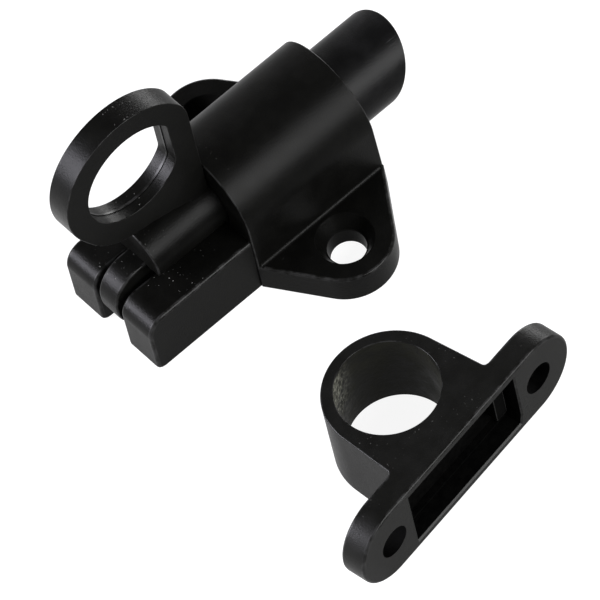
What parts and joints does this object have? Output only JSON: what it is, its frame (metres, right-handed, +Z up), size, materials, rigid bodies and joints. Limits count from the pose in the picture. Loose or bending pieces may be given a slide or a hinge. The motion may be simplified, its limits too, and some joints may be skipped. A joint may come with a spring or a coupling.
{
  "type": "spring bolt latch",
  "caption": "Self-closing spring bolt with a bevelled round bolt, a rigid pull ring, screw ears, and a separate collar keeper.",
  "frame": {"origin": "on the mounting face, midway between the two screw holes of the ears", "axes": "+X is the way the bolt shoots, +Y is to the bolt's left, +Z is up, away from the mounting face"},
  "size_m": [0.0731, 0.0986, 0.0547],
  "materials": {
    "housing_coat": "satin black coat on a die casting",
    "bolt_coat": "satin black coat with fine scratches",
    "handle_coat": "satin black coat on a die casting",
    "keeper_coat": "satin black coat on a die casting",
    "pin_steel": "plain turned steel",
    "spring_steel": "drawn spring wire"
  },
  "bodies": {
    "housing": {"housing": "housing_coat", "bolt_spring": "spring_steel", "keeper": "keeper_coat"},
    "bolt": {"bolt": "bolt_coat", "pull_handle": "handle_coat", "bolt_pin": "pin_steel"}
  },
  "joints": [
    {"name": "bolt_slide", "type": "slide", "parent": "housing", "child": "bolt", "axis": [-1, 0, 0], "range_m": [0, 0.014], "stiffness_N_per_m": 400, "springref_m": -0.012, "deforming": ["bolt_spring"]}
  ]
}
